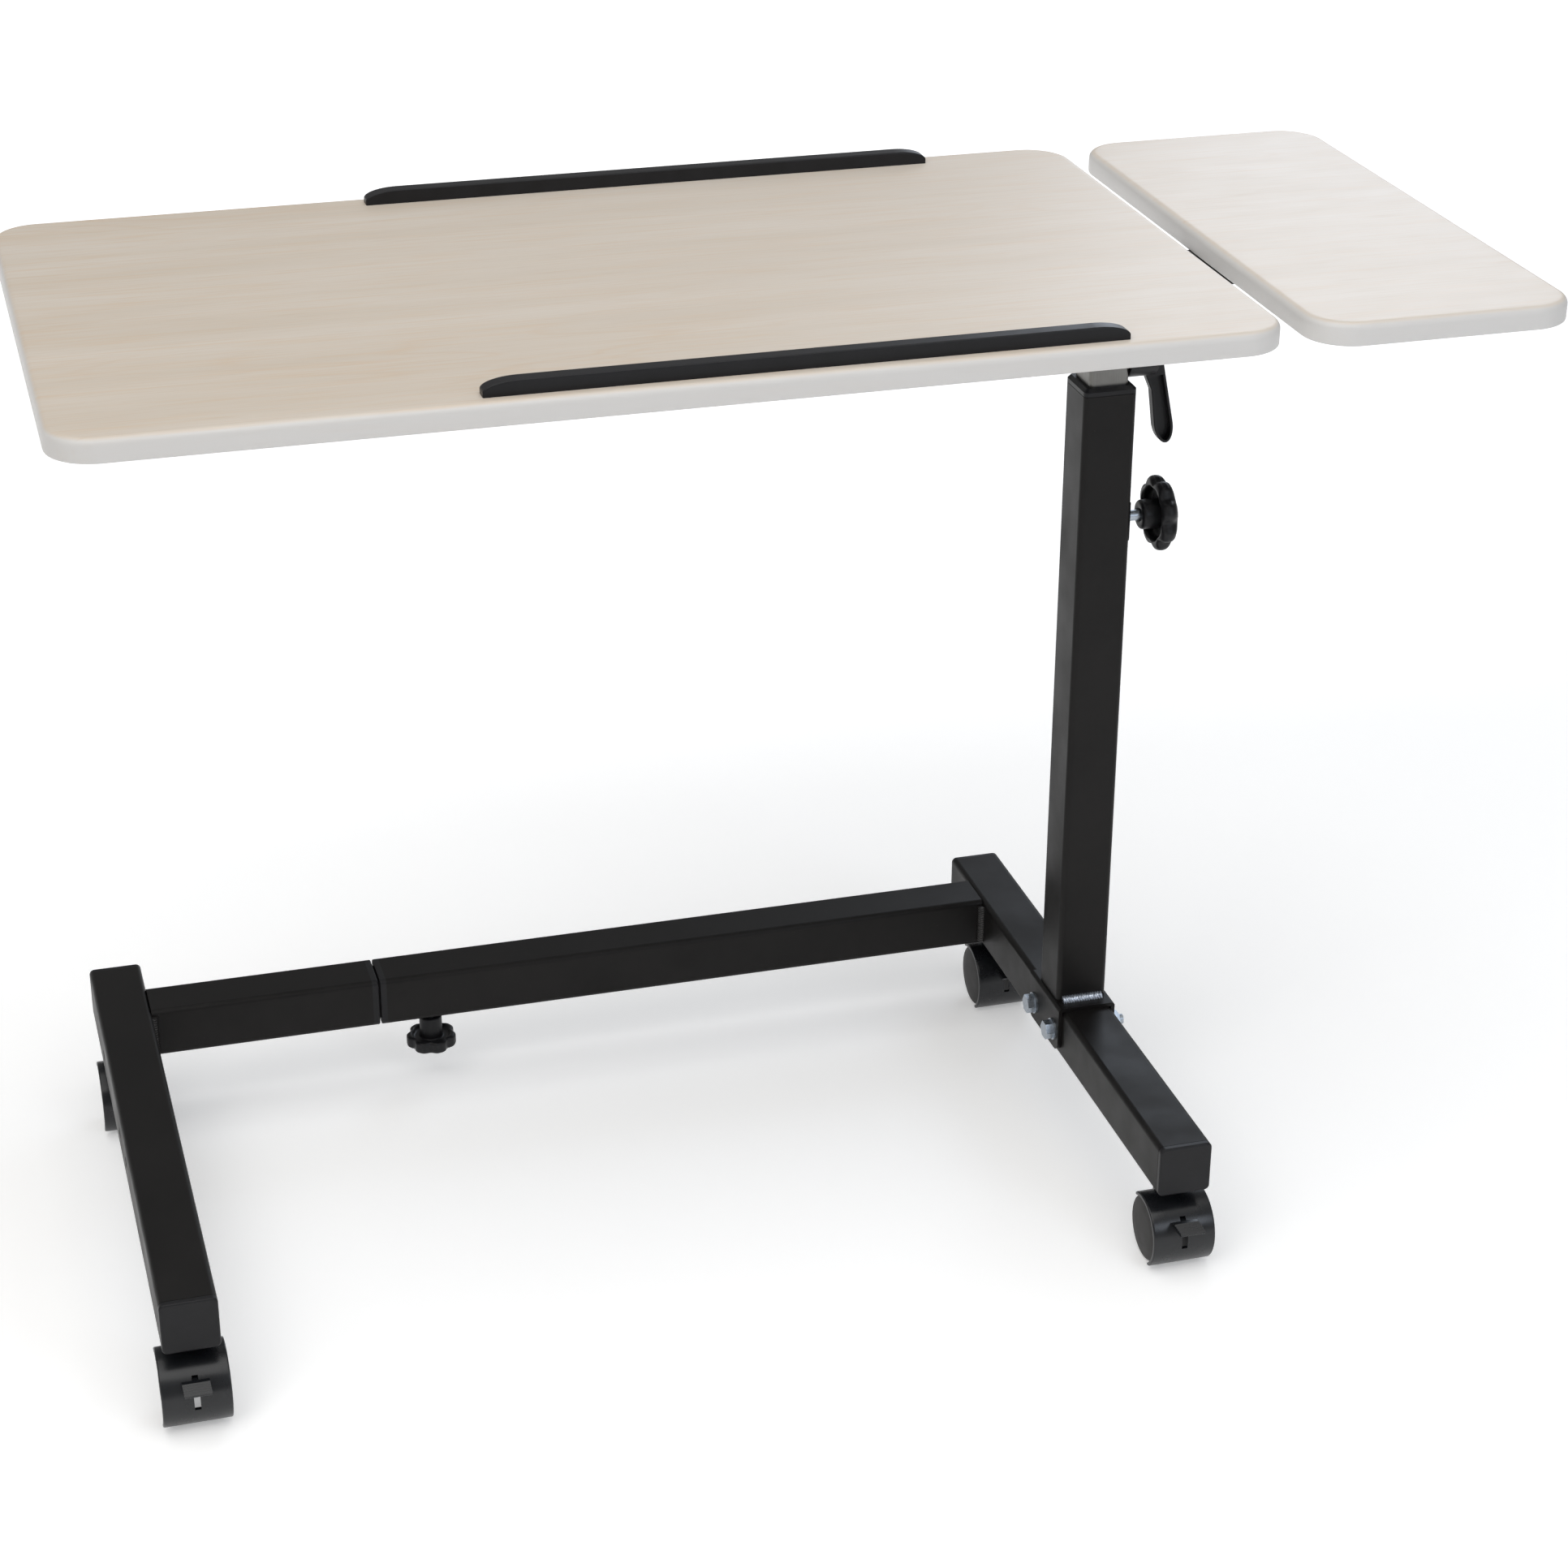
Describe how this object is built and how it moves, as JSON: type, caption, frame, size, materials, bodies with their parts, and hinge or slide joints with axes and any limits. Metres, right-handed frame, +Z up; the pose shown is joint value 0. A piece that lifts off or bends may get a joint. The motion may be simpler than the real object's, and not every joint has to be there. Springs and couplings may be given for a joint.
{
  "type": "overbed table",
  "caption": "Rolling overbed table with a tilting main top, a fixed side top, a height-adjustable mast at one end and a base that widens.",
  "frame": {"origin": "on the floor under the centre of the bounding box, with both tops level and the mast at its lowest", "axes": "+X from the main top towards the side top, +Y to the back where the crossbar is, +Z up"},
  "size_m": [1.008, 0.498, 0.725],
  "materials": {
    "top_foil": "satin maple-look foil on particle board",
    "frame_paint": "satin black powder coat",
    "satin_steel": "satin drawn tube",
    "zinc": "zinc plated",
    "weld_metal": "thinly painted weld bead",
    "black_plastic": "moulded satin black",
    "caster_plastic": "glossy black",
    "wheel_plastic": "satin brown-grey nylon"
  },
  "bodies": {
    "base": {"right_leg_tube": "frame_paint", "right_leg_caps": "black_plastic", "crossbar_outer_tube": "frame_paint", "crossbar_bush_right": "black_plastic", "base_clamp_nut": "zinc", "mast_saddle_bracket": "frame_paint", "saddle_bolts": "zinc", "saddle_nuts": "zinc", "mast_outer_tube": "frame_paint", "mast_collar": "black_plastic", "mast_clamp_boss": "black_plastic", "right_frame_welds": "weld_metal", "caster_stems_right": "zinc"},
    "base_extension": {"left_leg_tube": "frame_paint", "left_leg_caps": "black_plastic", "crossbar_stub_tube": "frame_paint", "crossbar_inner_tube": "frame_paint", "crossbar_bush_left": "black_plastic", "crossbar_inner_glide": "black_plastic", "left_frame_welds": "weld_metal", "caster_stems_left": "zinc"},
    "column": {"mast_inner_tube": "satin_steel", "mast_inner_glide": "black_plastic", "side_arm_tube": "frame_paint", "side_arm_cap": "black_plastic", "side_top_plate": "frame_paint", "side_top_panel": "top_foil", "side_top_screws": "zinc", "tilt_pivot_bolt": "zinc", "tilt_friction_spacer": "black_plastic"},
    "tilting_top": {"tilt_cheek": "frame_paint", "top_spine_tube": "frame_paint", "top_spine_cap": "black_plastic", "top_straps": "frame_paint", "main_top_panel": "top_foil", "main_top_screws": "zinc", "front_ledge": "black_plastic", "back_ledge": "black_plastic"},
    "lever": {"tilt_lever": "black_plastic", "tilt_lever_insert": "zinc"},
    "height_handle": {"height_knob": "black_plastic", "height_knob_screw": "zinc"},
    "base_handle": {"base_clamp_knob": "black_plastic", "base_clamp_screw": "zinc"},
    "caster_front_left": {"caster_hood_front_left": "caster_plastic", "caster_axle_front_left": "zinc"},
    "wheels_front_left": {"caster_wheels_front_left": "wheel_plastic"},
    "brake_front_left": {"caster_brake_front_left": "caster_plastic"},
    "caster_back_left": {"caster_hood_back_left": "caster_plastic", "caster_axle_back_left": "zinc"},
    "wheels_back_left": {"caster_wheels_back_left": "wheel_plastic"},
    "brake_back_left": {"caster_brake_back_left": "caster_plastic"},
    "caster_front_right": {"caster_hood_front_right": "caster_plastic", "caster_axle_front_right": "zinc"},
    "wheels_front_right": {"caster_wheels_front_right": "wheel_plastic"},
    "brake_front_right": {"caster_brake_front_right": "caster_plastic"},
    "caster_back_right": {"caster_hood_back_right": "caster_plastic", "caster_axle_back_right": "zinc"},
    "wheels_back_right": {"caster_wheels_back_right": "wheel_plastic"},
    "brake_back_right": {"caster_brake_back_right": "caster_plastic"}
  },
  "joints": [
    {"name": "base_length", "type": "slide", "parent": "base", "child": "base_extension", "axis": [-1, 0, 0], "range_m": [0, 0.2]},
    {"name": "mast_height", "type": "slide", "parent": "base", "child": "column", "axis": [0, 0, 1], "range_m": [0, 0.365]},
    {"name": "top_tilt", "type": "hinge", "parent": "column", "child": "tilting_top", "pos_m": [0.253, 0.011, 0.629], "axis": [1, 0, 0], "range_deg": [-35, 35]},
    {"name": "tilt_lever_turn", "type": "hinge", "parent": "column", "child": "lever", "pos_m": [0.28, 0.011, 0.629], "axis": [1, 0, 0], "range_deg": [-80, 0]},
    {"name": "height_knob_turn", "type": "hinge", "parent": "base", "child": "height_handle", "pos_m": [0.29, 0.011, 0.5], "axis": [1, 0, 0], "range_deg": [0, 540]},
    {"name": "base_knob_turn", "type": "hinge", "parent": "base", "child": "base_handle", "pos_m": [-0.2258, 0.1885, 0.045], "axis": [0, 0, 1], "range_deg": [0, 540]},
    {"name": "swivel_front_left", "type": "hinge", "parent": "base_extension", "child": "caster_front_left", "pos_m": [-0.466, -0.185, 0.05], "axis": [0, 0, 1], "continuous": true},
    {"name": "roll_front_left", "type": "hinge", "parent": "caster_front_left", "child": "wheels_front_left", "pos_m": [-0.466, -0.207, 0.025], "axis": [1, 0, 0], "continuous": true},
    {"name": "brake_turn_front_left", "type": "hinge", "parent": "caster_front_left", "child": "brake_front_left", "pos_m": [-0.466, -0.207, 0.025], "axis": [1, 0, 0], "range_deg": [-5, 24]},
    {"name": "swivel_back_left", "type": "hinge", "parent": "base_extension", "child": "caster_back_left", "pos_m": [-0.466, 0.207, 0.05], "axis": [0, 0, 1], "continuous": true},
    {"name": "roll_back_left", "type": "hinge", "parent": "caster_back_left", "child": "wheels_back_left", "pos_m": [-0.466, 0.185, 0.025], "axis": [1, 0, 0], "continuous": true},
    {"name": "brake_turn_back_left", "type": "hinge", "parent": "caster_back_left", "child": "brake_back_left", "pos_m": [-0.466, 0.185, 0.025], "axis": [1, 0, 0], "range_deg": [-5, 24]},
    {"name": "swivel_front_right", "type": "hinge", "parent": "base", "child": "caster_front_right", "pos_m": [0.253, -0.185, 0.05], "axis": [0, 0, 1], "continuous": true},
    {"name": "roll_front_right", "type": "hinge", "parent": "caster_front_right", "child": "wheels_front_right", "pos_m": [0.253, -0.207, 0.025], "axis": [1, 0, 0], "continuous": true},
    {"name": "brake_turn_front_right", "type": "hinge", "parent": "caster_front_right", "child": "brake_front_right", "pos_m": [0.253, -0.207, 0.025], "axis": [1, 0, 0], "range_deg": [-5, 24]},
    {"name": "swivel_back_right", "type": "hinge", "parent": "base", "child": "caster_back_right", "pos_m": [0.253, 0.207, 0.05], "axis": [0, 0, 1], "continuous": true},
    {"name": "roll_back_right", "type": "hinge", "parent": "caster_back_right", "child": "wheels_back_right", "pos_m": [0.253, 0.185, 0.025], "axis": [1, 0, 0], "continuous": true},
    {"name": "brake_turn_back_right", "type": "hinge", "parent": "caster_back_right", "child": "brake_back_right", "pos_m": [0.253, 0.185, 0.025], "axis": [1, 0, 0], "range_deg": [-5, 24]}
  ]
}
